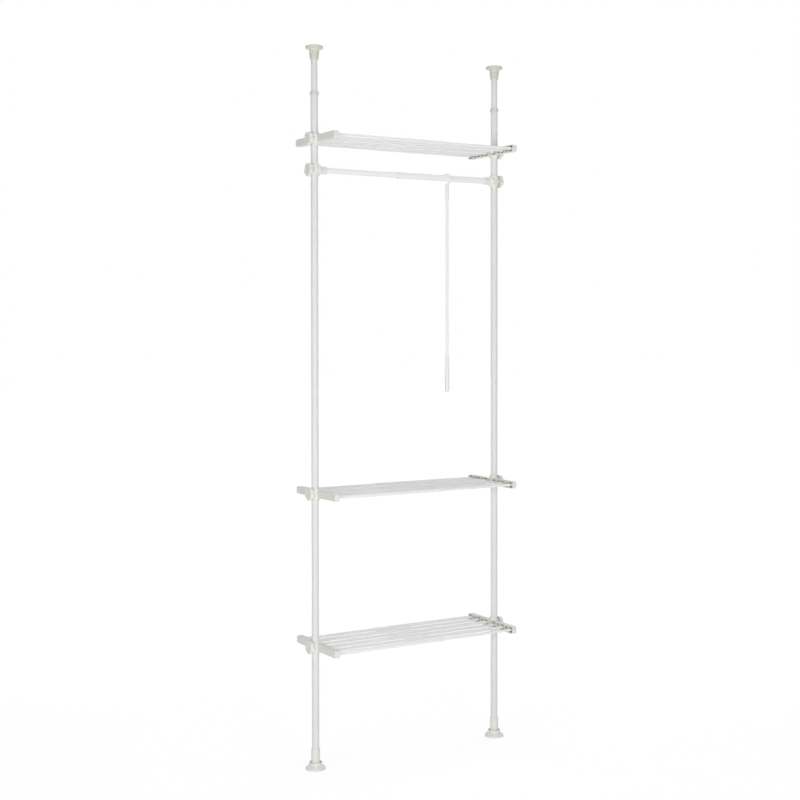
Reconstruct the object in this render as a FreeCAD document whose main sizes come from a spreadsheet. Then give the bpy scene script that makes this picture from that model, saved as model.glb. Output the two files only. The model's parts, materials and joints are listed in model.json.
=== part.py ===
import FreeCAD, Part
import math
import os
import re

import Sketcher

# Floor-to-ceiling tension pole rack: two telescoping poles on screw feet, three clamped rod shelves,
# a telescoping hanger bar and a hook rod. Millimetres, +Z up, X along the width, -Y is the front.
# The origin lies on the floor, midway between the poles.

Vector = FreeCAD.Vector
DOC = FreeCAD.newDocument("TensionPoleRack")

SIZES = {
    # Set-up of the whole rack: the upper shelf and bar hang from the ceiling's height
    "pole_spacing": 750,
    "ceiling_height": 2495,
    "lower_shelf_height": 424.5,
    "middle_shelf_height": 954.5,
    "top_shelf_drop": 318,
    "hanger_bar_drop": 107,
    # Clearances: pieces that slide, pieces that seat, screws in their nuts
    "slide_gap": 0.3,
    "seat_gap": 0.1,
    "thread_gap": 0.08,
    # Pole tubes
    "tube_diameter": 25.4,
    "tube_wall": 1.2,
    "pole_gap": 0.4,
    "upper_tube_wall": 1.0,
    "upper_tube_insertion": 260,
    # Foot with its screw jack
    "foot_pad_margin": 5,
    "foot_pad_thickness": 3.5,
    "foot_pad_proud": 0.8,
    "foot_diameter": 70,
    "foot_rim_height": 6,
    "foot_shoulder_diameter": 47,
    "foot_shoulder_height": 15,
    "foot_height": 25,
    "foot_floor": 3.5,
    "foot_cup_gap": 4,
    "foot_cup_wall": 2.5,
    "foot_cup_depth": 8,
    "foot_edge_radius": 2.5,
    "jack_screw_diameter": 16,
    "jack_screw_rise": 53,
    "jack_sleeve_wall": 2.5,
    "jack_sleeve_length": 52,
    "jack_sleeve_gap": 2,
    "jack_nut_height": 23,
    "jack_sleeve_lip": 0.8,
    "jack_sleeve_chamfer": 4,
    # Collar on the lower tube
    "collar_drop": 156,
    "collar_wall": 2.7,
    "collar_length": 11.5,
    "collar_lip": 3,
    "collar_chamfer": 2,
    # Spring in the pole
    "bush_flange": 6,
    "bush_spigot": 14,
    "bush_bore_diameter": 8,
    "spring_length": 120,
    "spring_gap": 2,
    "spring_wire_diameter": 2,
    "spring_turns": 10,
    "spring_end_gap": 0.2,
    "spring_seat_thickness": 12,
    "spring_pin_gap": 1.5,
    "spring_pin_height": 10,
    # Ceiling cap
    "ceiling_pad_margin": 4.5,
    "ceiling_pad_thickness": 3.5,
    "ceiling_pad_proud": 0.8,
    "cap_flange_diameter": 61,
    "cap_flange_thickness": 10,
    "cap_height": 48,
    "cap_roof": 10,
    "cap_neck_diameter": 37,
    "cap_neck_taper": 3.5,
    "cap_mouth_wall": 1.9,
    "cap_mouth_height": 6,
    "cap_edge_radius": 3,
    "cap_neck_radius": 4,
    # Shelf bracket: ribbed bar with a clamp hub
    "rod_pitch": 52,
    "bar_end_margin": 15,
    "bar_height": 26,
    "bar_depth": 19,
    "bar_web": 5,
    "bar_wall": 2.8,
    "bar_rib": 2.4,
    "bar_corner_radius": 8,
    "bar_edge_radius": 2.5,
    "rod_socket_wall": 2,
    "rod_socket_height": 6,
    "hub_wall": 4,
    "hub_height": 42,
    "hub_slope_start": 4,
    "hub_boss_gap": 2.5,
    "hub_boss_height": 5,
    # Clamp shoe and knob
    "shoe_width": 11,
    "shoe_height": 13,
    "shoe_thickness": 2.5,
    "shoe_side_depth": 4.5,
    "shoe_travel": 1.9,
    "clamp_screw_diameter": 8,
    "knob_diameter": 46,
    "knob_thickness": 12.5,
    "knob_overlap": 1,
    "knob_web": 4,
    "knob_wall": 4,
    "knob_lobes": 5,
    "knob_scallop_radius": 10,
    "knob_scallop_depth": 3,
    "knob_lobe_radius": 3,
    "knob_edge_radius": 2,
    "knob_dish_diameter": 20,
    "knob_dish_depth": 1,
    # Shelf rods
    "wide_rod_diameter": 12,
    "wide_rod_wall": 0.9,
    "narrow_rod_wall": 0.8,
    "rod_reach": 435,
    "rod_spare": 180,
    "rod_bead_rise": 0.6,
    "rod_bead_length": 6,
    # Hanger bar
    "hanger_outer_diameter": 22.2,
    "hanger_outer_wall": 1.0,
    "hanger_inner_wall": 1.0,
    "hanger_gap": 0.55,
    "hanger_reach": 418,
    "hanger_spare": 148,
    "holder_wall": 2.3,
    "holder_floor_wall": 7,
    "holder_socket_depth": 26,
    "holder_flare_diameter": 38,
    "holder_flare_length": 8,
    "holder_mouth_chamfer": 1.5,
    "end_ring_wall": 0.7,
    "end_ring_length": 9,
    "end_ring_lip": 1.5,
    # Hook rod
    "hook_offset": 208,
    "hook_twist": 30,
    "hook_wire_diameter": 6,
    "hook_bend_radius": 8,
    "hook_tip": 6,
    "hook_clearance": 0.6,
    "hook_sag": 1.5,
    "hook_stem_seat": 14,
    "ferrule_gap": 6.9,
    "ferrule_length": 60,
    "ferrule_wall": 1.65,
    "ferrule_nose_wall": 1.5,
    "ferrule_nose_length": 8,
    "ferrule_seat": 20,
    "hook_rod_diameter": 10,
    "hook_rod_wall": 1.0,
    "hook_rod_exposed": 565,
    "grip_length": 133,
    "grip_seat": 40,
    "grip_neck_wall": 1.1,
    "grip_diameter": 17,
    "grip_swell": 70,
    "grip_end_radius": 8,
}

SHEET = DOC.addObject("Spreadsheet::Sheet", "Sizes")
for row, (alias, value) in enumerate(SIZES.items(), start=1):
    SHEET.set("A%d" % row, alias)
    SHEET.set("B%d" % row, str(value))
    SHEET.setAlias("B%d" % row, alias)
DOC.recompute()

# Radii that several pieces share
TUBE_BORE = "(tube_diameter / 2 - tube_wall)"
POLE_BORE = "(tube_diameter / 2 + slide_gap)"
UPPER_RADIUS = "(%s - pole_gap)" % TUBE_BORE
UPPER_BORE = "(%s - upper_tube_wall)" % UPPER_RADIUS
SLEEVE_RADIUS = "(%s + jack_sleeve_wall)" % POLE_BORE
JACK_BORE = "(jack_screw_diameter / 2 + thread_gap)"
WIDE_RADIUS = "(wide_rod_diameter / 2)"
WIDE_BORE = "(%s - wide_rod_wall)" % WIDE_RADIUS
NARROW_RADIUS = "(%s - slide_gap)" % WIDE_BORE
OUTER_BAR_RADIUS = "(hanger_outer_diameter / 2)"
OUTER_BAR_BORE = "(%s - hanger_outer_wall)" % OUTER_BAR_RADIUS
INNER_BAR_RADIUS = "(%s - hanger_gap)" % OUTER_BAR_BORE
INNER_BAR_BORE = "(%s - hanger_inner_wall)" % INNER_BAR_RADIUS

# Heights along a pole, from the floor up
SCREW_BOTTOM = "(foot_pad_thickness + foot_floor)"
CUP_FLOOR = "(foot_height - foot_cup_depth)"
SLEEVE_BOTTOM = "(%s + jack_sleeve_gap)" % CUP_FLOOR
TUBE_BOTTOM = "(%s + jack_nut_height)" % SLEEVE_BOTTOM
SLEEVE_TOP = "(%s + jack_sleeve_length)" % SLEEVE_BOTTOM
TOP_SHELF = "(ceiling_height - top_shelf_drop)"
HANGER_BAR = "(%s - hanger_bar_drop)" % TOP_SHELF
COLLAR_TOP = "(ceiling_height - collar_drop)"
TUBE_TOP = "(%s - collar_lip)" % COLLAR_TOP
UPPER_BOTTOM = "(%s - upper_tube_insertion)" % TUBE_TOP
SPRING_TOP = "(%s - bush_flange)" % UPPER_BOTTOM
SPRING_BOTTOM = "(%s - spring_length)" % SPRING_TOP
CAP_TOP = "(ceiling_height - ceiling_pad_proud)"
CAP_BOTTOM = "(%s - cap_height)" % CAP_TOP
CEILING_PAD_BOTTOM = "(ceiling_height - ceiling_pad_thickness)"
UPPER_TOP = "(%s - cap_roof)" % CEILING_PAD_BOTTOM

# Stations along a clamp, measured outwards from the pole's axis
HUB_RADIUS = "(%s + hub_wall)" % POLE_BORE
KNOB_HOLLOW = "(knob_diameter / 2 - knob_scallop_depth - knob_wall)"
BOSS_RADIUS = "min(hub_height / 2 - hub_wall; %s - hub_boss_gap)" % KNOB_HOLLOW
BOSS_END = "(%s + hub_boss_height)" % HUB_RADIUS
SHOE_BACK = "(%s + shoe_thickness)" % POLE_BORE
KNOB_RIM = "(%s - knob_overlap)" % HUB_RADIUS
KNOB_FLOOR = "(%s + knob_thickness - knob_web)" % KNOB_RIM
KNOB_FACE = "(%s + knob_thickness)" % KNOB_RIM

# Stations along a holder, measured inwards from the pole's axis
HOLDER_FLOOR = "(%s + holder_floor_wall)" % POLE_BORE
HOLDER_END = "(%s + holder_socket_depth)" % HOLDER_FLOOR

# Depth places of the rods on one half of a shelf, in rod pitches: the other half is turned end for end
WIDE_ROD_PLACES = (1.5, -0.5, -2.5)
NARROW_ROD_PLACES = (2.5, 0.5, -1.5)
CELL_COUNT = 11

SIDES = ("left", "right")
SHELF_HEIGHTS = {"lower": "lower_shelf_height", "middle": "middle_shelf_height", "top": TOP_SHELF}
PIECES = []


def bound(text):
    """Turn a formula of size names into one that reads the sheet."""
    return re.sub(r"\b[a-z_]{2,}\b(?!\()", lambda match: "Sizes." + match.group(0), text)


def size(alias):
    """Read one number from the sheet."""
    return float(SHEET.get(alias))


def finish_piece(piece, label):
    """Name a finished piece and keep it for writing."""
    piece.Label = label
    PIECES.append(piece)
    return piece


def place_on_pole(piece, side, height):
    """Put a piece on its pole: local +X points inwards, to the other pole."""
    turn = 0 if side == "left" else 180
    piece.Placement = FreeCAD.Placement(Vector(), FreeCAD.Rotation(Vector(0, 0, 1), turn))
    half = "pole_spacing / 2" if side == "right" else "0 - pole_spacing / 2"
    piece.setExpression("Placement.Base.x", bound(half))
    piece.setExpression("Placement.Base.z", bound(height))


def origin_part(body, role):
    """Find one of a body's own origin planes or axes."""
    return next(part for part in body.Origin.OriginFeatures if part.Role == role)


def new_body(label):
    return DOC.addObject("PartDesign::Body", label)


def new_sketch(body, name, role, offset=None):
    """Add a sketch on an origin plane, moved along the plane's normal where an offset is given."""
    sketch = body.newObject("Sketcher::SketchObject", name)
    sketch.AttachmentSupport = [(origin_part(body, role), "")]
    sketch.MapMode = "FlatFace"
    if offset:
        sketch.setExpression("AttachmentOffset.Base.z", bound(offset))
    return sketch


def bind_point(sketch, geometry, point, across, along):
    """Tie a sketch point to two formulas, measured from the sketch's origin."""
    for kind, text in (("DistanceX", across), ("DistanceY", along)):
        index = sketch.addConstraint(Sketcher.Constraint(kind, -1, 1, geometry, point, 1.0))
        sketch.setExpression("Constraints[%d]" % index, bound(text))


def bind_radius(sketch, geometry, text, start=1.0):
    index = sketch.addConstraint(Sketcher.Constraint("Radius", geometry, start))
    sketch.setExpression("Constraints[%d]" % index, bound(text))


def add_outline(sketch, points):
    """Draw a closed outline of straight lines through points given as formulas."""
    first = sketch.GeometryCount
    count = len(points)
    angles = [2 * math.pi * k / count for k in range(count)]
    start = [Vector(math.cos(angle), math.sin(angle), 0) for angle in angles]
    for k in range(count):
        sketch.addGeometry(Part.LineSegment(start[k], start[(k + 1) % count]), False)
    for k in range(count):
        sketch.addConstraint(Sketcher.Constraint("Coincident", first + k, 2, first + (k + 1) % count, 1))
    for k, (across, along) in enumerate(points):
        bind_point(sketch, first + k, 1, across, along)


def add_block(sketch, half_width, half_height, centre="0"):
    """Draw a rectangle about a centre that lies on the sketch's X axis."""
    low = "%s - (%s)" % (centre, half_width)
    high = "%s + (%s)" % (centre, half_width)
    down = "0 - (%s)" % half_height
    add_outline(sketch, [(low, down), (high, down), (high, half_height), (low, half_height)])


def add_circle(sketch, across, along, radius):
    index = sketch.addGeometry(Part.Circle(Vector(), Vector(0, 0, 1), 1.0), False)
    bind_point(sketch, index, 3, across, along)
    bind_radius(sketch, index, radius)


def extrude(body, kind, sketch, length, symmetric=False, backwards=False):
    """Pad or pocket a sketch. A length of None runs through everything."""
    feature = body.newObject("PartDesign::" + kind, sketch.Name + "_" + kind.lower())
    feature.Profile = sketch
    feature.SideType = "Symmetric" if symmetric else "One side"
    feature.Reversed = backwards
    if length is None:
        feature.Type = "ThroughAll"
    else:
        feature.setExpression("Length", bound(length))
    return feature


def revolve(body, sketch, axis):
    feature = body.newObject("PartDesign::Revolution", sketch.Name + "_turn")
    feature.Profile = sketch
    feature.ReferenceAxis = (sketch, [axis])
    feature.Angle = 360
    return feature


def round_edges(body, name, radius, chosen):
    """Fillet the edges of the body's latest shape that the chooser picks."""
    DOC.recompute()
    base = body.Tip
    names = ["Edge%d" % (k + 1) for k, edge in enumerate(base.Shape.Edges) if chosen(edge)]
    fillet = body.newObject("PartDesign::Fillet", name)
    fillet.Base = (base, names)
    fillet.setExpression("Radius", bound(radius))
    return fillet


def is_circle_at(edge, radius, height):
    """True for a full circle about Z with this radius, at this height."""
    curve = edge.Curve
    if not isinstance(curve, Part.Circle):
        return False
    return abs(curve.Radius - radius) < 1e-4 and abs(curve.Center.z - height) < 1e-4


def lies_in_plane(edge, station):
    """True for an edge that lies all in the plane x = station."""
    box = edge.BoundBox
    return abs(box.XMin - station) < 1e-4 and abs(box.XMax - station) < 1e-4


def runs_along_x(edge):
    box = edge.BoundBox
    return box.XLength > 1.0 and box.YLength < 1e-4 and box.ZLength < 1e-4


def turned(label, points):
    """Make a turned piece from its profile of (radius, height) formulas."""
    body = new_body(label)
    sketch = new_sketch(body, label + "_profile", "XZ_Plane")
    add_outline(sketch, points)
    revolve(body, sketch, "V_Axis")
    return body


def turned_ring(label, inner, outer, low, high):
    return turned(label, [(inner, low), (outer, low), (outer, high), (inner, high)])


# Poles

def make_foot(side):
    """Stepped foot with its rubber pad below, its cup above and the jack screw in the middle."""
    pad_radius = "foot_diameter / 2 - foot_pad_margin"
    recess = pad_radius + " + seat_gap"
    screw_seat = "jack_screw_diameter / 2 + seat_gap"
    cup = SLEEVE_RADIUS + " + foot_cup_gap"
    base = turned(side + "_foot_base", [
        ("0", "foot_pad_thickness"), (recess, "foot_pad_thickness"), (recess, "foot_pad_proud"),
        ("foot_diameter / 2", "foot_pad_proud"), ("foot_diameter / 2", "foot_rim_height"),
        ("foot_shoulder_diameter / 2", "foot_shoulder_height"), (cup + " + foot_cup_wall", "foot_height"),
        (cup, "foot_height"), (cup, CUP_FLOOR),
        (screw_seat, CUP_FLOOR), (screw_seat, SCREW_BOTTOM), ("0", SCREW_BOTTOM)])
    rim_radius = size("foot_diameter") / 2
    rim_height = size("foot_rim_height")
    round_edges(base, side + "_foot_round", "foot_edge_radius",
                lambda edge: is_circle_at(edge, rim_radius, rim_height))
    pad = turned_ring(side + "_foot_pad", "0", pad_radius, "0", "foot_pad_thickness")
    screw = turned_ring(side + "_jack_screw", "0", "jack_screw_diameter / 2", SCREW_BOTTOM,
                        CUP_FLOOR + " + jack_screw_rise")
    return [base, pad, screw]


def make_jack_sleeve(side):
    """Nut sleeve: threaded below, a socket for the pole above, chamfered at its top."""
    return turned(side + "_jack_sleeve", [
        (JACK_BORE, SLEEVE_BOTTOM), (SLEEVE_RADIUS, SLEEVE_BOTTOM),
        (SLEEVE_RADIUS, SLEEVE_TOP + " - jack_sleeve_chamfer"),
        (POLE_BORE + " + jack_sleeve_lip", SLEEVE_TOP), (POLE_BORE, SLEEVE_TOP),
        (POLE_BORE, TUBE_BOTTOM), (JACK_BORE, TUBE_BOTTOM)])


def make_tubes(side):
    """Lower tube on the sleeve's shoulder, and the upper tube from inside it to the cap."""
    lower = turned_ring(side + "_lower_tube", TUBE_BORE, "tube_diameter / 2", TUBE_BOTTOM, TUBE_TOP)
    upper = turned_ring(side + "_upper_tube", UPPER_BORE, UPPER_RADIUS, UPPER_BOTTOM, UPPER_TOP)
    return [lower, upper]


def make_collar(side):
    """Ring over the lower tube's end, with a lip that guides the upper tube."""
    seat = "tube_diameter / 2 + seat_gap"
    outer = seat + " + collar_wall"
    lip = UPPER_RADIUS + " + slide_gap"
    low = COLLAR_TOP + " - collar_length"
    return turned(side + "_tube_collar", [
        (seat, low), (outer, low), (outer, COLLAR_TOP + " - collar_chamfer"),
        (outer + " - collar_chamfer", COLLAR_TOP), (lip, COLLAR_TOP),
        (lip, TUBE_TOP), (seat, TUBE_TOP)])


def make_spring_pieces(side):
    """Seat fixed in the lower tube, and the bush that closes the upper tube's lower end."""
    seat_low = SPRING_BOTTOM + " - spring_seat_thickness"
    seat_radius = TUBE_BORE + " - seat_gap"
    pin = TUBE_BORE + " - spring_gap - spring_wire_diameter - spring_pin_gap"
    seat = turned(side + "_spring_seat", [
        ("0", seat_low), (seat_radius, seat_low), (seat_radius, SPRING_BOTTOM), (pin, SPRING_BOTTOM),
        (pin, SPRING_BOTTOM + " + spring_pin_height"), ("0", SPRING_BOTTOM + " + spring_pin_height")])
    bore = "bush_bore_diameter / 2"
    spigot = UPPER_BORE + " - seat_gap"
    bush_top = UPPER_BOTTOM + " + bush_spigot"
    bush = turned(side + "_guide_bush", [
        (bore, SPRING_TOP), (UPPER_RADIUS, SPRING_TOP), (UPPER_RADIUS, UPPER_BOTTOM), (spigot, UPPER_BOTTOM),
        (spigot, bush_top), (bore, bush_top)])
    return [seat, bush]


def make_spring(side):
    """Round-wire compression spring, one unbroken tube along quarter-turn arcs of a helix."""
    wire = size("spring_wire_diameter") / 2
    radius = size("tube_diameter") / 2 - size("tube_wall") - size("spring_gap") - wire
    turns = int(size("spring_turns"))
    end = wire + size("spring_end_gap")
    rise = size("spring_length") - 2 * end
    pitch = rise / turns

    def helix(turn):
        angle = 2 * math.pi * turn
        return Vector(radius * math.cos(angle), radius * math.sin(angle), end + pitch * turn)

    quarters = range(4 * turns)
    arcs = [Part.Arc(helix(k / 4), helix(k / 4 + 0.125), helix(k / 4 + 0.25)).toShape() for k in quarters]
    start = arcs[0]
    section = Part.Circle(helix(0), start.tangentAt(start.FirstParameter), wire).toShape()
    shell = Part.Wire(arcs).makePipeShell([Part.Wire([section])], True, False)
    spring = DOC.addObject("Part::Feature", side + "_tension_spring")
    spring.Shape = shell
    print(side, "spring: least gap between turns", round(pitch - 2 * wire, 2))
    return spring


def make_ceiling_cap(side):
    """Flanged cap with a tapered neck that holds the upper tube, and its rubber pad."""
    pad_radius = "cap_flange_diameter / 2 - ceiling_pad_margin"
    recess = pad_radius + " + seat_gap"
    socket = UPPER_RADIUS + " + seat_gap"
    neck = "cap_neck_diameter / 2"
    flange_low = CAP_TOP + " - cap_flange_thickness"
    cap = turned(side + "_ceiling_cap", [
        ("0", CEILING_PAD_BOTTOM), ("0", UPPER_TOP), (socket, UPPER_TOP), (socket, CAP_BOTTOM),
        (socket + " + cap_mouth_wall", CAP_BOTTOM),
        (neck + " - cap_neck_taper", CAP_BOTTOM + " + cap_mouth_height"), (neck, flange_low),
        ("cap_flange_diameter / 2", flange_low), ("cap_flange_diameter / 2", CAP_TOP),
        (recess, CAP_TOP), (recess, CEILING_PAD_BOTTOM)])
    flange_radius = size("cap_flange_diameter") / 2
    neck_radius = size("cap_neck_diameter") / 2
    top = size("ceiling_height") - size("ceiling_pad_proud")
    low = top - size("cap_flange_thickness")
    round_edges(cap, side + "_cap_rim_round", "cap_edge_radius",
                lambda edge: is_circle_at(edge, flange_radius, top) or is_circle_at(edge, flange_radius, low))
    round_edges(cap, side + "_cap_neck_round", "cap_neck_radius",
                lambda edge: is_circle_at(edge, neck_radius, low))
    pad = turned_ring(side + "_ceiling_pad", "0", pad_radius, CEILING_PAD_BOTTOM, "ceiling_height")
    return [cap, pad]


def make_pole(side):
    pieces = make_foot(side) + [make_jack_sleeve(side)] + make_tubes(side)
    pieces += [make_collar(side)] + make_spring_pieces(side) + make_ceiling_cap(side)
    for piece in pieces:
        place_on_pole(piece, side, "0")
        finish_piece(piece, piece.Name)
    spring = make_spring(side)
    place_on_pole(spring, side, SPRING_BOTTOM)
    finish_piece(spring, spring.Name)


# Clamps

def add_hub(body, label):
    """Hub round the pole: a ring that slopes down, above and below, to the screw boss on its outer side."""
    ring = new_sketch(body, label + "_ring", "XY_Plane")
    add_circle(ring, "0", "0", HUB_RADIUS)
    extrude(body, "Pad", ring, "hub_height", symmetric=True)
    slope = new_sketch(body, label + "_slope", "XZ_Plane")
    outer = "0 - %s - 1" % HUB_RADIUS
    above = "hub_height / 2 + 1"
    add_outline(slope, [(outer, BOSS_RADIUS), ("hub_slope_start", "hub_height / 2"),
                        ("hub_slope_start", above), (outer, above)])
    cut = extrude(body, "Pocket", slope, None, symmetric=True)
    mirror = body.newObject("PartDesign::Mirrored", label + "_slope_below")
    mirror.Originals = [cut]
    mirror.MirrorPlane = (origin_part(body, "XY_Plane"), [""])
    body.Tip = mirror
    boss = new_sketch(body, label + "_boss", "YZ_Plane")
    add_circle(boss, "0", "0", BOSS_RADIUS)
    extrude(body, "Pad", boss, BOSS_END, backwards=True)


def cut_hub(body, label):
    """Pole bore, the shoe's recess beside it and the screw hole through the boss."""
    bore = new_sketch(body, label + "_bore", "XY_Plane")
    add_circle(bore, "0", "0", POLE_BORE)
    extrude(body, "Pocket", bore, None, symmetric=True)
    recess = new_sketch(body, label + "_recess", "YZ_Plane")
    add_block(recess, "shoe_width / 2 + slide_gap", "shoe_height / 2 + slide_gap")
    extrude(body, "Pocket", recess, SHOE_BACK + " + shoe_travel + slide_gap")
    hole = new_sketch(body, label + "_hole", "YZ_Plane")
    add_circle(hole, "0", "0", "clamp_screw_diameter / 2 + thread_gap")
    extrude(body, "Pocket", hole, BOSS_END + " + 1")


def make_knob(label):
    """Lobed knob, hollow behind, with its clamp screw in the middle."""
    body = new_body(label)
    rim = "0 - " + KNOB_RIM
    disc = new_sketch(body, label + "_disc", "YZ_Plane", rim)
    add_circle(disc, "0", "0", "knob_diameter / 2")
    extrude(body, "Pad", disc, "knob_thickness", backwards=True)
    scallop = new_sketch(body, label + "_scallop", "YZ_Plane", rim)
    scallop_centre = "knob_diameter / 2 - knob_scallop_depth + knob_scallop_radius"
    add_circle(scallop, "0", scallop_centre, "knob_scallop_radius")
    cut = extrude(body, "Pocket", scallop, "knob_thickness")
    lobes = body.newObject("PartDesign::PolarPattern", label + "_lobes")
    lobes.Originals = [cut]
    lobes.Axis = (origin_part(body, "X_Axis"), [""])
    lobes.Angle = 360
    lobes.setExpression("Occurrences", bound("knob_lobes"))
    body.Tip = lobes
    round_edges(body, label + "_lobe_round", "knob_lobe_radius", runs_along_x)
    hub_radius = size("tube_diameter") / 2 + size("slide_gap") + size("hub_wall")
    face = size("knob_overlap") - hub_radius - size("knob_thickness")
    round_edges(body, label + "_face_round", "knob_edge_radius", lambda edge: lies_in_plane(edge, face))
    hollow = new_sketch(body, label + "_hollow", "YZ_Plane", rim)
    add_circle(hollow, "0", "0", KNOB_HOLLOW)
    extrude(body, "Pocket", hollow, "knob_thickness - knob_web")
    dish = new_sketch(body, label + "_dish", "YZ_Plane", "0 - " + KNOB_FACE)
    add_circle(dish, "0", "0", "knob_dish_diameter / 2")
    extrude(body, "Pocket", dish, "knob_dish_depth", backwards=True)
    screw = new_sketch(body, label + "_screw", "YZ_Plane", "0 - " + KNOB_FLOOR)
    add_circle(screw, "0", "0", "clamp_screw_diameter / 2")
    extrude(body, "Pad", screw, KNOB_FLOOR + " - " + SHOE_BACK)
    return body


def make_shoe(label):
    """Pressure shoe: a small block, hollowed to the pole's curve, that the screw pushes."""
    block = DOC.addObject("Part::Box", label + "_block")
    block.setExpression("Length", bound("shoe_side_depth"))
    block.setExpression("Width", bound("shoe_width"))
    block.setExpression("Height", bound("shoe_height"))
    block.setExpression("Placement.Base.x", bound("0 - " + SHOE_BACK))
    block.setExpression("Placement.Base.y", bound("0 - shoe_width / 2"))
    block.setExpression("Placement.Base.z", bound("0 - shoe_height / 2"))
    curve = DOC.addObject("Part::Cylinder", label + "_curve")
    curve.setExpression("Radius", bound(POLE_BORE))
    curve.setExpression("Height", bound("2 * shoe_height"))
    curve.setExpression("Placement.Base.z", bound("0 - shoe_height"))
    shoe = DOC.addObject("Part::Cut", label)
    shoe.Base = block
    shoe.Tool = curve
    return shoe


def make_clamp(label, side, height):
    """Knob and shoe of one clamp."""
    for piece, name in ((make_knob(label + "_knob"), "knob"), (make_shoe(label + "_shoe"), "shoe")):
        place_on_pole(piece, side, height)
        finish_piece(piece, label + "_" + name)


# Shelves

def make_bracket(label):
    """Moulded end bar, open on its inner face in ribbed cells, with rod sockets and a clamp hub."""
    body = new_body(label)
    bar = new_sketch(body, label + "_bar", "YZ_Plane")
    add_block(bar, "2.5 * rod_pitch + bar_end_margin", "bar_height / 2")
    extrude(body, "Pad", bar, "bar_depth")
    round_edges(body, label + "_corners", "bar_corner_radius", runs_along_x)
    round_edges(body, label + "_outer_edges", "bar_edge_radius", lambda edge: lies_in_plane(edge, 0))
    cell = new_sketch(body, label + "_cell", "YZ_Plane", "bar_depth")
    add_block(cell, "(rod_pitch / 2 - bar_rib) / 2", "bar_height / 2 - bar_wall", "0 - 2.5 * rod_pitch")
    first_cell = extrude(body, "Pocket", cell, "bar_depth - bar_web")
    cells = body.newObject("PartDesign::LinearPattern", label + "_cells")
    cells.Originals = [first_cell]
    cells.Direction = (origin_part(body, "Y_Axis"), [""])
    cells.setExpression("Length", bound("5 * rod_pitch"))
    cells.Occurrences = CELL_COUNT
    body.Tip = cells
    add_hub(body, label)
    sockets = new_sketch(body, label + "_sockets", "YZ_Plane")
    for places, rod_radius in ((WIDE_ROD_PLACES, WIDE_RADIUS), (NARROW_ROD_PLACES, NARROW_RADIUS)):
        bore = rod_radius + " + seat_gap"
        for place in places:
            for radius in (bore, bore + " + rod_socket_wall"):
                add_circle(sockets, "%s * rod_pitch" % place, "0", radius)
    extrude(body, "Pad", sockets, "bar_web + rod_socket_height")
    cut_hub(body, label)
    return body


def add_tubes(body, name, places, outer, inner, start, length):
    """Pad tubes inwards from a station along X, one at each depth place."""
    sketch = new_sketch(body, name, "YZ_Plane", start)
    for place in places:
        for radius in (outer, inner):
            add_circle(sketch, "%s * rod_pitch" % place, "0", radius)
    extrude(body, "Pad", sketch, length)


def make_rods(label):
    """Rods of one half shelf: wide tubes with a bead at their open end, and narrow tubes that reach into
    the other half's wide ones."""
    body = new_body(label)
    body.AllowCompound = True
    add_tubes(body, label + "_wide", WIDE_ROD_PLACES, WIDE_RADIUS, WIDE_BORE,
              "bar_web", "rod_reach - bar_web")
    add_tubes(body, label + "_bead", WIDE_ROD_PLACES, WIDE_RADIUS + " + rod_bead_rise", WIDE_BORE,
              "rod_reach - rod_bead_length", "rod_bead_length")
    add_tubes(body, label + "_narrow", NARROW_ROD_PLACES, NARROW_RADIUS, NARROW_RADIUS + " - narrow_rod_wall",
              "bar_web", "pole_spacing - 2 * bar_web - rod_spare")
    return body


def make_shelf(shelf):
    height = SHELF_HEIGHTS[shelf]
    for side in SIDES:
        label = "%s_shelf_%s" % (shelf, side)
        for piece in (make_bracket(label + "_bracket"), make_rods(label + "_rods")):
            place_on_pole(piece, side, height)
            finish_piece(piece, piece.Name)
        make_clamp(label, side, height)


# Hanger bar

def make_holder(label, tube_radius):
    """Clamp hub with a flared socket for one end of the hanger bar."""
    body = new_body(label)
    add_hub(body, label)
    socket = new_sketch(body, label + "_socket", "XZ_Plane")
    flare = "holder_flare_diameter / 2"
    outer = OUTER_BAR_RADIUS + " + seat_gap + holder_wall"
    bore = tube_radius + " + seat_gap"
    add_outline(socket, [
        ("0", "0"), ("0", flare), (HUB_RADIUS, flare), (HUB_RADIUS + " + holder_flare_length", outer),
        (HOLDER_END + " - holder_mouth_chamfer", outer), (HOLDER_END, outer + " - holder_mouth_chamfer"),
        (HOLDER_END, bore), (HOLDER_FLOOR, bore), (HOLDER_FLOOR, "0")])
    revolve(body, socket, "H_Axis")
    cut_hub(body, label)
    return body


def make_bar_tube(label, outer, inner, length):
    """Tube along X from its own holder's socket floor."""
    body = new_body(label)
    sketch = new_sketch(body, label + "_section", "YZ_Plane", HOLDER_FLOOR)
    for radius in (outer, inner):
        add_circle(sketch, "0", "0", radius)
    extrude(body, "Pad", sketch, length)
    return body


def make_end_ring(label):
    """Ring on the outer tube's open end, with a lip that guides the inner tube."""
    body = new_body(label)
    sketch = new_sketch(body, label + "_profile", "XZ_Plane")
    seat = OUTER_BAR_RADIUS + " + seat_gap"
    lip = INNER_BAR_RADIUS + " + slide_gap"
    outer = seat + " + end_ring_wall"
    start = "hanger_reach - end_ring_length + end_ring_lip"
    end = "hanger_reach + end_ring_lip"
    add_outline(sketch, [(start, seat), (start, outer), (end, outer), (end, lip),
                         ("hanger_reach", lip), ("hanger_reach", seat)])
    revolve(body, sketch, "H_Axis")
    return body


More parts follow.
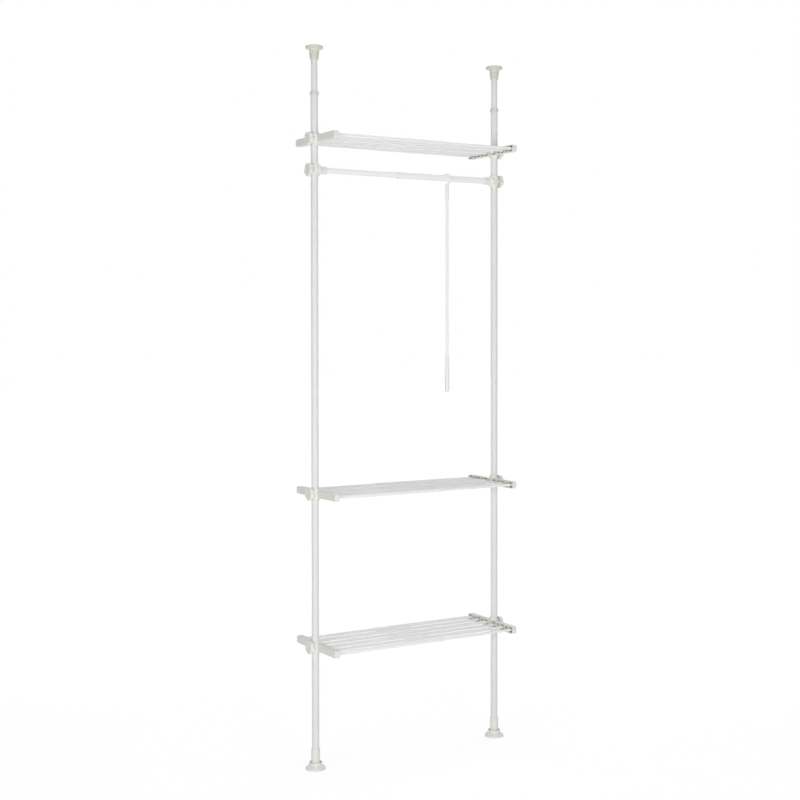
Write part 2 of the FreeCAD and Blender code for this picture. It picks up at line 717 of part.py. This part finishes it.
def make_hanger_bar():
    inner_length = "pole_spacing - 2 * %s - hanger_spare" % HOLDER_FLOOR
    outer_length = "hanger_reach - " + HOLDER_FLOOR
    pieces = (
        ("left", make_holder("hanger_bar_left_holder", INNER_BAR_RADIUS)),
        ("right", make_holder("hanger_bar_right_holder", OUTER_BAR_RADIUS)),
        ("left", make_bar_tube("hanger_bar_inner_tube", INNER_BAR_RADIUS, INNER_BAR_BORE, inner_length)),
        ("right", make_bar_tube("hanger_bar_outer_tube", OUTER_BAR_RADIUS, OUTER_BAR_BORE, outer_length)),
        ("right", make_end_ring("hanger_bar_end_ring")),
    )
    for side, piece in pieces:
        place_on_pole(piece, side, HANGER_BAR)
        finish_piece(piece, piece.Name)
    for side in SIDES:
        make_clamp("hanger_bar_" + side, side, HANGER_BAR)


# Hook rod

FERRULE_TOP = "(0 - %s - ferrule_gap)" % OUTER_BAR_RADIUS
FERRULE_END = "(%s - ferrule_length)" % FERRULE_TOP
GRIP_TOP = "(%s - hook_rod_exposed)" % FERRULE_END
HOOK_RADIUS = "((%s + hook_clearance + hook_wire_diameter / 2) / cos(hook_twist))" % OUTER_BAR_RADIUS


def add_hook_path(body, label):
    """Centre line of the hook: a stem on the rod's axis, a bend forward, a turn over the bar and a tip."""
    path = new_sketch(body, label + "_path", "YZ_Plane")
    twist = math.radians(size("hook_twist"))
    reach = (size("hanger_outer_diameter") + size("hook_wire_diameter")) / 2 + size("hook_clearance")
    turn_radius = reach / math.cos(twist)
    bend_radius = size("hook_bend_radius")
    lean = math.acos(bend_radius / (turn_radius + bend_radius))
    bend_centre = Vector(-bend_radius, -(turn_radius + bend_radius) * math.sin(lean), 0)
    up = Vector(0, 0, 1)
    turn_end = Vector(turn_radius, 0, 0)
    stem_top = Vector(0, bend_centre.y, 0)
    turn_circle = Part.Circle(Vector(), up, turn_radius)
    turn = path.addGeometry(Part.ArcOfCircle(turn_circle, 0, math.pi + lean), False)
    bend = path.addGeometry(Part.ArcOfCircle(Part.Circle(bend_centre, up, bend_radius), 0, lean), False)
    stem_end = stem_top - Vector(0, size("hook_stem_seat"), 0)
    tip_end = turn_end - Vector(0, size("hook_tip"), 0)
    stem = path.addGeometry(Part.LineSegment(stem_top, stem_end), False)
    tip = path.addGeometry(Part.LineSegment(turn_end, tip_end), False)
    path.addConstraint(Sketcher.Constraint("Coincident", turn, 3, -1, 1))
    bind_radius(path, turn, HOOK_RADIUS, turn_radius)
    bind_radius(path, bend, "hook_bend_radius", bend_radius)
    path.addConstraint(Sketcher.Constraint("Tangent", turn, 2, bend, 2))
    path.addConstraint(Sketcher.Constraint("Tangent", bend, 1, stem, 1))
    path.addConstraint(Sketcher.Constraint("Tangent", turn, 1, tip, 1))
    path.addConstraint(Sketcher.Constraint("Vertical", tip))
    path.addConstraint(Sketcher.Constraint("Vertical", stem))
    path.addConstraint(Sketcher.Constraint("PointOnObject", stem, 1, -2))
    for line, length in ((stem, "hook_stem_seat"), (tip, "hook_tip")):
        index = path.addConstraint(Sketcher.Constraint("Distance", line, size(length)))
        path.setExpression("Constraints[%d]" % index, bound(length))
    return path


def make_hook(label):
    """Wire hook moulded into a ferrule with a socket for the rod."""
    body = new_body(label)
    path = add_hook_path(body, label)
    section = new_sketch(body, label + "_section", "XY_Plane", "0 - hook_tip")
    add_circle(section, "0", HOOK_RADIUS, "hook_wire_diameter / 2")
    wire = body.newObject("PartDesign::AdditivePipe", label + "_wire")
    wire.Profile = section
    wire.Spine = (path, ["Edge1", "Edge2", "Edge3", "Edge4"])
    tip_height = -size("hook_tip")
    wire_radius = size("hook_wire_diameter") / 2
    round_edges(body, label + "_tip_round", "hook_wire_diameter / 2.5",
                lambda edge: is_circle_at(edge, wire_radius, tip_height))
    ferrule = new_sketch(body, label + "_ferrule", "XZ_Plane")
    seat = "hook_rod_diameter / 2 + seat_gap"
    nose = "hook_wire_diameter / 2 + ferrule_nose_wall"
    outer = seat + " + ferrule_wall"
    floor = FERRULE_END + " + ferrule_seat"
    add_outline(ferrule, [
        ("0", FERRULE_TOP), (nose, FERRULE_TOP), (outer, FERRULE_TOP + " - ferrule_nose_length"),
        (outer, FERRULE_END), (seat, FERRULE_END), (seat, floor), ("0", floor)])
    revolve(body, ferrule, "V_Axis")
    return body


def make_grip(label):
    """Tapered grip that swells towards a rounded end."""
    seat = "hook_rod_diameter / 2 + seat_gap"
    low = GRIP_TOP + " - grip_length"
    body = turned(label, [
        (seat, GRIP_TOP), (seat + " + grip_neck_wall", GRIP_TOP),
        ("grip_diameter / 2", GRIP_TOP + " - grip_swell"), ("grip_diameter / 2", low), ("0", low),
        ("0", GRIP_TOP + " - grip_seat"), (seat, GRIP_TOP + " - grip_seat")])
    end_radius = size("grip_diameter") / 2
    end_drop = size("hanger_outer_diameter") / 2 + size("ferrule_gap") + size("ferrule_length")
    end_drop += size("hook_rod_exposed") + size("grip_length")
    round_edges(body, label + "_end_round", "grip_end_radius",
                lambda edge: is_circle_at(edge, end_radius, -end_drop))
    return body


def make_hook_rod():
    rod = turned_ring("hook_rod_tube", "hook_rod_diameter / 2 - hook_rod_wall", "hook_rod_diameter / 2",
                      GRIP_TOP + " - grip_seat", FERRULE_END + " + ferrule_seat")
    for piece in (make_hook("hook_rod_hook"), rod, make_grip("hook_rod_grip")):
        piece.Placement = FreeCAD.Placement(Vector(), FreeCAD.Rotation(Vector(0, 0, 1), size("hook_twist")))
        piece.setExpression("Placement.Rotation.Angle", bound("hook_twist"))
        piece.setExpression("Placement.Base.x", bound("pole_spacing / 2 - hook_offset"))
        piece.setExpression("Placement.Base.z", bound(HANGER_BAR + " - hook_sag"))
        finish_piece(piece, piece.Name)


def check_document():
    """Stop where a feature failed, or a piece has no sound shape."""
    failed = [item.Name for item in DOC.Objects if "Invalid" in item.State or "Error" in item.State]
    if failed:
        raise RuntimeError("failed features: " + ", ".join(failed))
    unsound = [piece.Label for piece in PIECES if piece.Shape.isNull() or not piece.Shape.isValid()]
    if unsound:
        raise RuntimeError("unsound pieces: " + ", ".join(unsound))


def write_pieces():
    os.makedirs("parts", exist_ok=True)
    for piece in PIECES:
        piece.Shape.exportStep("parts/%s.step" % piece.Label)
    print(len(PIECES), "pieces written")


for pole_side in SIDES:
    make_pole(pole_side)
for shelf_name in SHELF_HEIGHTS:
    make_shelf(shelf_name)
make_hanger_bar()
make_hook_rod()
DOC.recompute()
check_document()
write_pieces()
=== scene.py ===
import json
import math

import bmesh
import bpy
import numpy as np
from mathutils import Matrix, Vector


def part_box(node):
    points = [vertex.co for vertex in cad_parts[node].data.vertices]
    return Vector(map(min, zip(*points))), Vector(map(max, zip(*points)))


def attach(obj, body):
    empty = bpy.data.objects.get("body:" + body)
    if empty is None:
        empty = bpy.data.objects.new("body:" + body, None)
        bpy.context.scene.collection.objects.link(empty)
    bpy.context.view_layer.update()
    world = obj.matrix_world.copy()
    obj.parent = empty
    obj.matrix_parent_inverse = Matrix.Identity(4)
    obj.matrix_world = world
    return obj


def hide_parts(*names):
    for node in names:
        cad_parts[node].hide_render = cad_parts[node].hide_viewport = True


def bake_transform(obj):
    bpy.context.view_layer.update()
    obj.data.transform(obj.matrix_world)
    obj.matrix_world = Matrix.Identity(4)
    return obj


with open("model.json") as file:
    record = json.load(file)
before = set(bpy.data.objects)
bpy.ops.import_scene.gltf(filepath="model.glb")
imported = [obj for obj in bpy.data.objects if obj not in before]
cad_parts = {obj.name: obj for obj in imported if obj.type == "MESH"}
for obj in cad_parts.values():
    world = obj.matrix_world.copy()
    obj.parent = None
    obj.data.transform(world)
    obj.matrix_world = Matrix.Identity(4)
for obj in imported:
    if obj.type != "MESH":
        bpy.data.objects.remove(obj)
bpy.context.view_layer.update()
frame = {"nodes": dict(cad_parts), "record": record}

# Camera, fitted to the photograph's pole, shelf and bar lines: pixels of its frame, millimetres
# for the sensor, and the place in metres
IMAGE_SIZE = 800
FOCAL_PIXELS = 1382.4
HORIZON_OFFSET_PIXELS = 47.3
SENSOR_WIDTH = 36.0
CAMERA_PLACE = Vector((-2.5654, -4.2386, 1.5303))
CAMERA_YAW = math.radians(-30.855)
CAMERA_PITCH = math.radians(1.068)
CAMERA_ROLL = math.radians(-0.06)

# Studio: metres and watts. Soft lights stand on either side of the camera, behind the object and
# overhead, each with its turn from the camera's heading. The floor has one colour as a light and
# one to the eye, and is lifted to white to the eye, near the object and far from it.
FLOOR_SIZE = 60.0
FLOOR_BOUNCE = (0.9, 0.9, 0.9)
FLOOR_SEEN = (0.3, 0.3, 0.3)
FLOOR_ROUGHNESS = 0.9
FLOOR_LIFT = (0.762, 0.915)
FLOOR_LIFT_REACH = (2.0, 6.5)
WORLD_STRENGTH = 0.225
WHITE = (1.0, 1.0, 1.0, 1.0)
LIGHT_TARGET = Vector((0.0, 0.0, 1.25))
LIGHT_DISTANCE = 4.8
LIGHT_HEIGHT = 1.25
LIGHT_SIZE = 2.6
LIGHT_RING = {
    "left_light": (math.radians(-26), 67.0),
    "right_light": (math.radians(22), 74.0),
    "back_left_light": (math.radians(-142), 60.0),
    "back_right_light": (math.radians(138), 66.0),
}
TOP_HEIGHT = 6.0
TOP_SIZE = 4.0
TOP_POWER = 80.0

# Finishes: colours from dark to light; clouds and grain as features per metre with their detail;
# roughness from smooth to dull; the bump's strength with its height in metres; and painted shade,
# which turns the colour darker in hollows, ribs and contacts within a reach in metres.
IVORY = ((0.82, 0.815, 0.77), (0.86, 0.855, 0.81))
CAP_IVORY = ((0.67, 0.67, 0.60), (0.71, 0.71, 0.64))
# Painted shade of hollows, ribs and contacts: reach in metres, shaded colour, fade and samples
SHALLOW_PAINTED_SHADE = (0.008, (0.50, 0.47, 0.36))
DEEP_PAINTED_SHADE = (0.03, (0.46, 0.42, 0.29))
PAINTED_SHADE_OPENNESS = (0.03, 0.24)
PAINTED_SHADE_SAMPLES = 16
COATED = {
    "clouds": (35.0, 2.0), "grain": (700.0, 3.0),
    "roughness": (0.42, 0.52), "bump": (0.10, 0.0002),
}
MOULDED = {
    "clouds": (60.0, 2.0), "grain": (2200.0, 3.0),
    "roughness": (0.40, 0.52), "bump": (0.12, 0.0001),
}
FINISHES = {
    # White powder coat with orange peel, a shade deeper on the poles
    "powder_coat": COATED | {"colours": ((0.91, 0.91, 0.91), (0.94, 0.94, 0.94))},
    "pole_coat": COATED | {"colours": ((0.79, 0.79, 0.79), (0.82, 0.82, 0.82))},
    # Ivory plastic with spark-eroded grain and painted shade, deep in the ribs; caps a shade deeper
    "ivory_plastic": MOULDED | {"colours": IVORY, "painted_shade": SHALLOW_PAINTED_SHADE},
    "ribbed_plastic_deep_shade": MOULDED | {"colours": IVORY, "painted_shade": DEEP_PAINTED_SHADE},
    "cap_plastic": MOULDED | {"colours": CAP_IVORY, "painted_shade": SHALLOW_PAINTED_SHADE},
    # Smooth white plastic
    "white_plastic": {
        "colours": ((0.87, 0.87, 0.87), (0.91, 0.91, 0.91)), "clouds": (80.0, 2.0),
        "grain": (1800.0, 3.0), "roughness": (0.38, 0.50), "bump": (0.10, 0.0001),
    },
    # Non-slip rubber, dull and finely pitted
    "grey_rubber": {
        "colours": ((0.34, 0.34, 0.33), (0.44, 0.44, 0.42)), "clouds": (90.0, 4.0),
        "grain": (1500.0, 4.0), "roughness": (0.75, 0.92), "bump": (0.3, 0.0002), "specular": 0.5,
    },
    # Zinc-plated steel with streaks round the axis
    "zinc_steel": {
        "colours": ((0.56, 0.57, 0.59), (0.72, 0.73, 0.74)), "clouds": (300.0, 4.0),
        "grain": (300.0, 4.0), "roughness": (0.25, 0.42), "bump": (0.1, 0.0001), "specular": 0.5,
        "metallic": 1.0, "stretch": (1.0, 1.0, 12.0),
    },
}

# The finish of each material slot, and of nodes whose names have these ends
SLOT_FINISHES = {
    "white_steel": "powder_coat",
    "ivory_plastic": "ivory_plastic",
    "white_plastic": "white_plastic",
    "grey_rubber": "grey_rubber",
    "zinc_steel": "zinc_steel",
}
NODE_FINISHES = {
    ("_lower_tube", "_upper_tube"): "pole_coat",
    ("_ceiling_cap", "_tube_collar"): "cap_plastic",
    # Brackets and knobs: deep painted shade in their ribs and recesses
    ("_bracket", "_knob"): "ribbed_plastic_deep_shade",
}

# Jack screw thread: metres, with its profile as shares of the pitch and of the depth, and spare
# turns that are trimmed off at the ends
THREAD_PITCH = 0.003
THREAD_DEPTH = 0.0013
THREAD_PROFILE = ((0.0, 1.0), (0.22, 1.0), (0.46, 0.0), (0.76, 0.0))
THREAD_SIDES = 40
THREAD_SPARE_TURNS = 2
TRIM_WELD = 1e-7
TRIM_TOLERANCE = 1e-6

# Pole spring: metres, with one closed turn at each end; steps go along a turn, sides round the wire
SPRING_WIRE = 0.002
SPRING_TURNS = 10
SPRING_CLOSED_PITCH = 0.0022
SPRING_STEPS = 32
SPRING_SIDES = 10
UP = Vector((0.0, 0.0, 1.0))


def node_material(name):
    """Start a node material, with its shader and a socket of points in the part's own metres."""
    material = bpy.data.materials.new(name)
    material.use_nodes = True
    tree = material.node_tree
    shader = tree.nodes["Principled BSDF"]
    points = tree.nodes.new("ShaderNodeTexCoord").outputs["Object"]
    return material, tree, shader, points


def add_noise(tree, points, scale, detail):
    """Noise over the part: scale is in features per metre."""
    noise = tree.nodes.new("ShaderNodeTexNoise")
    noise.inputs["Scale"].default_value = scale
    noise.inputs["Detail"].default_value = detail
    tree.links.new(points, noise.inputs["Vector"])
    return noise.outputs["Fac"]


def add_range(tree, value, low, high, start=0.3, end=0.7):
    """Spread a value, by default a noise, over a range of numbers."""
    spread = tree.nodes.new("ShaderNodeMapRange")
    spread.inputs["From Min"].default_value = start
    spread.inputs["From Max"].default_value = end
    spread.inputs["To Min"].default_value = low
    spread.inputs["To Max"].default_value = high
    tree.links.new(value, spread.inputs["Value"])
    return spread.outputs["Result"]


def add_mix(tree, factor, first, second):
    """Mix two colours, each a colour or a socket."""
    mix = tree.nodes.new("ShaderNodeMix")
    mix.data_type = "RGBA"
    tree.links.new(factor, mix.inputs["Factor"])
    for name, colour in (("A", first), ("B", second)):
        socket = next(item for item in mix.inputs if item.name == name and item.type == "RGBA")
        if isinstance(colour, tuple):
            socket.default_value = colour + (1.0,)
        else:
            tree.links.new(colour, socket)
    return next(item for item in mix.outputs if item.type == "RGBA")


def add_bump(tree, shader, heights, strength, distance):
    """Raise the surface by a value: distance is the full height in metres."""
    bump = tree.nodes.new("ShaderNodeBump")
    bump.inputs["Strength"].default_value = strength
    bump.inputs["Distance"].default_value = distance
    tree.links.new(heights, bump.inputs["Height"])
    tree.links.new(bump.outputs["Normal"], shader.inputs["Normal"])


def add_painted_shade(tree, face, reach, colour):
    """Paint shade into a face's colour: a darker one where occlusion finds hollows and contacts."""
    hollow = tree.nodes.new("ShaderNodeAmbientOcclusion")
    hollow.inputs["Distance"].default_value = reach
    hollow.samples = PAINTED_SHADE_SAMPLES
    open_share = add_range(tree, hollow.outputs["AO"], 0.0, 1.0, *PAINTED_SHADE_OPENNESS)
    return add_mix(tree, open_share, colour, face)


def add_stretch(tree, points, scale):
    """Stretch a pattern's points."""
    mapping = tree.nodes.new("ShaderNodeMapping")
    mapping.inputs["Scale"].default_value = scale
    tree.links.new(points, mapping.inputs["Vector"])
    return mapping.outputs["Vector"]


def make_finish(name, colours, clouds, grain, roughness, bump,
                specular=0.3, metallic=0.0, stretch=None, painted_shade=None):
    """Build a finish: cloudy colour, painted shade in hollows, uneven gloss and a fine grain."""
    material, tree, shader, points = node_material(name)
    if stretch:
        points = add_stretch(tree, points, stretch)
    colour = add_mix(tree, add_noise(tree, points, *clouds), *colours)
    # Painted shade: darker colour in hollows, ribs and contacts
    if painted_shade:
        colour = add_painted_shade(tree, colour, *painted_shade)
    tree.links.new(colour, shader.inputs["Base Color"])
    shader.inputs["Metallic"].default_value = metallic
    shader.inputs["Specular IOR Level"].default_value = specular
    heights = add_noise(tree, points, *grain)
    tree.links.new(add_range(tree, heights, *roughness), shader.inputs["Roughness"])
    add_bump(tree, shader, heights, *bump)
    return material


def dress_nodes(finishes):
    """Give every CAD node the finish of its material slot, or its own where it has one."""
    for entry in frame["record"]["subparts"]:
        node = entry["node"]
        finish = SLOT_FINISHES[entry["material_slot"]]
        for ends, own_finish in NODE_FINISHES.items():
            if node.endswith(ends):
                finish = own_finish
        mesh = frame["nodes"][node].data
        mesh.materials.clear()
        mesh.materials.append(finishes[finish])


def add_piece(name, mesh, finish):
    """Turn a finished bmesh into a piece of the scene."""
    bmesh.ops.recalc_face_normals(mesh, faces=mesh.faces[:])
    data = bpy.data.meshes.new(name)
    mesh.to_mesh(data)
    mesh.free()
    data.materials.append(finish)
    piece = bpy.data.objects.new(name, data)
    bpy.context.scene.collection.objects.link(piece)
    return piece


def make_jack_thread(side, finish):
    """Cut the jack screw's thread: a helix over the screw's length, trimmed flat at both ends."""
    low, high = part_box(side + "_jack_screw")
    middle = (low + high) / 2
    radius = (high.x - low.x) / 2
    turns = math.ceil((high.z - low.z) / THREAD_PITCH) + THREAD_SPARE_TURNS
    mesh = bmesh.new()
    rows = []
    for turn in range(turns):
        for along, depth in THREAD_PROFILE:
            row = []
            for step in range(THREAD_SIDES):
                share = step / THREAD_SIDES
                angle = 2 * math.pi * share
                reach = radius - THREAD_DEPTH * depth
                height = low.z + (turn - THREAD_SPARE_TURNS + along + share) * THREAD_PITCH
                place = (reach * math.cos(angle), reach * math.sin(angle), height)
                row.append(mesh.verts.new(place))
            rows.append(row)
    profile = len(THREAD_PROFILE)
    for index, (lower, upper) in enumerate(zip(rows, rows[1:])):
        for step in range(THREAD_SIDES - 1):
            mesh.faces.new((lower[step], lower[step + 1], upper[step + 1], upper[step]))
        if index + profile + 1 < len(rows):
            start, above = rows[index + profile], rows[index + profile + 1]
            mesh.faces.new((lower[-1], start[0], above[0], upper[-1]))
    for height, way in ((low.z, -1), (high.z, 1)):
        geometry = mesh.verts[:] + mesh.edges[:] + mesh.faces[:]
        bmesh.ops.bisect_plane(mesh, geom=geometry, dist=TRIM_WELD, plane_co=(0, 0, height),
                               plane_no=(0, 0, way), clear_outer=True)
        rim = [edge for edge in mesh.edges if edge.is_boundary
               and all(abs(vert.co.z - height) < TRIM_TOLERANCE for vert in edge.verts)]
        bmesh.ops.contextual_create(mesh, geom=rim)
    thread = add_piece(side + "_jack_thread", mesh, finish)
    thread.location = (middle.x, middle.y, 0.0)
    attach(thread, side + "_foot")
    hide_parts(side + "_jack_screw")


def make_coil_spring(side, finish):
    """Wind the pole's spring, closed at both ends, in the place of the CAD spring, which it hides.
    """
    low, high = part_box(side + "_tension_spring")
    middle = (low + high) / 2
    wire = SPRING_WIRE / 2
    radius = (high.x - low.x) / 2 - wire
    rise = high.z - low.z - SPRING_WIRE
    turns = (0.0, 1.0, SPRING_TURNS - 1.0, float(SPRING_TURNS))
    heights = (0.0, SPRING_CLOSED_PITCH, rise - SPRING_CLOSED_PITCH, rise)
    mesh = bmesh.new()
    rings = []
    for step in range(SPRING_TURNS * SPRING_STEPS + 1):
        turn = step / SPRING_STEPS
        angle = 2 * math.pi * turn
        height = low.z + wire + float(np.interp(turn, turns, heights))
        outward = Vector((math.cos(angle), math.sin(angle), 0.0))
        centre = Vector((middle.x, middle.y, height)) + radius * outward
        ring = []
        for corner in range(SPRING_SIDES):
            lean = 2 * math.pi * corner / SPRING_SIDES
            point = centre + wire * (math.cos(lean) * outward + math.sin(lean) * UP)
            ring.append(mesh.verts.new(point))
        rings.append(ring)
    for ring, following in zip(rings, rings[1:]):
        for corner in range(SPRING_SIDES):
            beside = (corner + 1) % SPRING_SIDES
            corners = (ring[corner], ring[beside], following[beside], following[corner])
            mesh.faces.new(corners).smooth = True
    for ring in (rings[0], rings[-1]):
        mesh.faces.new(ring)
    spring = add_piece(side + "_coil_spring", mesh, finish)
    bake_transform(spring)
    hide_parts(side + "_tension_spring")


def seen_directly(tree):
    """A socket that is 1 for what the camera, a reflection or a clear surface shows."""
    path = tree.nodes.new("ShaderNodeLightPath")
    value = path.outputs["Is Camera Ray"]
    for name in ("Is Glossy Ray", "Is Transmission Ray"):
        either = tree.nodes.new("ShaderNodeMath")
        either.operation = "MAXIMUM"
        tree.links.new(value, either.inputs[0])
        tree.links.new(path.outputs[name], either.inputs[1])
        value = either.outputs["Value"]
    return value


def make_floor():
    """Plain pale floor that stays white to the eye and keeps a soft shadow."""
    half = FLOOR_SIZE / 2
    mesh = bpy.data.meshes.new("floor")
    corners = [(-half, -half, 0), (half, -half, 0), (half, half, 0), (-half, half, 0)]
    mesh.from_pydata(corners, [], [(0, 1, 2, 3)])
    floor = bpy.data.objects.new("floor", mesh)
    bpy.context.scene.collection.objects.link(floor)
    material, tree, shader, points = node_material("studio_floor")
    seen = seen_directly(tree)
    tree.links.new(add_mix(tree, seen, FLOOR_BOUNCE, FLOOR_SEEN), shader.inputs["Base Color"])
    shader.inputs["Roughness"].default_value = FLOOR_ROUGHNESS
    distance = tree.nodes.new("ShaderNodeVectorMath")
    distance.operation = "LENGTH"
    tree.links.new(points, distance.inputs["Vector"])
    strength = add_range(tree, distance.outputs["Value"], *FLOOR_LIFT, *FLOOR_LIFT_REACH)
    shader.inputs["Emission Color"].default_value = WHITE
    lift = tree.nodes.new("ShaderNodeMath")
    lift.operation = "MULTIPLY"
    tree.links.new(seen, lift.inputs[0])
    tree.links.new(strength, lift.inputs[1])
    tree.links.new(lift.outputs["Value"], shader.inputs["Emission Strength"])
    mesh.materials.append(material)


def make_world():
    """Even white surroundings: full white to the eye, softer as a light."""
    world = bpy.data.worlds.new("studio")
    world.use_nodes = True
    tree = world.node_tree
    background = tree.nodes["Background"]
    background.inputs["Color"].default_value = WHITE
    strength = tree.nodes.new("ShaderNodeMapRange")
    strength.inputs["To Min"].default_value = WORLD_STRENGTH
    strength.inputs["To Max"].default_value = 1.0
    tree.links.new(seen_directly(tree), strength.inputs["Value"])
    tree.links.new(strength.outputs["Result"], background.inputs["Strength"])
    bpy.context.scene.world = world


def add_soft_light(name, place, size, power):
    """Large round lamp that faces the object. Those behind it stay out of reflections."""
    lamp = bpy.data.lights.new(name, "AREA")
    lamp.shape = "DISK"
    lamp.size = size
    lamp.energy = power
    light = bpy.data.objects.new(name, lamp)
    light.location = place
    light.visible_glossy = not name.startswith("back")
    light.rotation_euler = (LIGHT_TARGET - place).to_track_quat("-Z", "Y").to_euler()
    bpy.context.scene.collection.objects.link(light)


def make_lights():
    """Lights round the object, each turned from the camera's heading, and the overhead one."""
    for name, (turn, power) in LIGHT_RING.items():
        heading = CAMERA_YAW - math.pi / 2 + turn
        place = LIGHT_DISTANCE * Vector((math.cos(heading), math.sin(heading), 0.0))
        place.z = LIGHT_HEIGHT
        add_soft_light(name, place, LIGHT_SIZE, power)
    add_soft_light("top_light", Vector((0.0, 0.0, TOP_HEIGHT)), TOP_SIZE, TOP_POWER)


def make_camera():
    """Camera at the fitted place, with the horizon shifted in the frame."""
    data = bpy.data.cameras.new("camera")
    data.sensor_width = SENSOR_WIDTH
    data.lens = FOCAL_PIXELS / IMAGE_SIZE * SENSOR_WIDTH
    data.shift_y = -HORIZON_OFFSET_PIXELS / IMAGE_SIZE
    camera = bpy.data.objects.new("camera", data)
    turn = Matrix.Rotation(CAMERA_YAW, 4, "Z")
    tilt = Matrix.Rotation(math.pi / 2 - CAMERA_PITCH, 4, "X")
    roll = Matrix.Rotation(CAMERA_ROLL, 4, "Z")
    camera.matrix_world = Matrix.Translation(CAMERA_PLACE) @ turn @ tilt @ roll
    bpy.context.scene.collection.objects.link(camera)
    bpy.context.scene.camera = camera


finishes = {name: make_finish(name, **values) for name, values in FINISHES.items()}
dress_nodes(finishes)
for side in ("left", "right"):
    make_jack_thread(side, finishes["zinc_steel"])
    make_coil_spring(side, finishes["zinc_steel"])
make_floor()
make_world()
make_lights()
make_camera()
bpy.context.scene.view_settings.view_transform = "Standard"
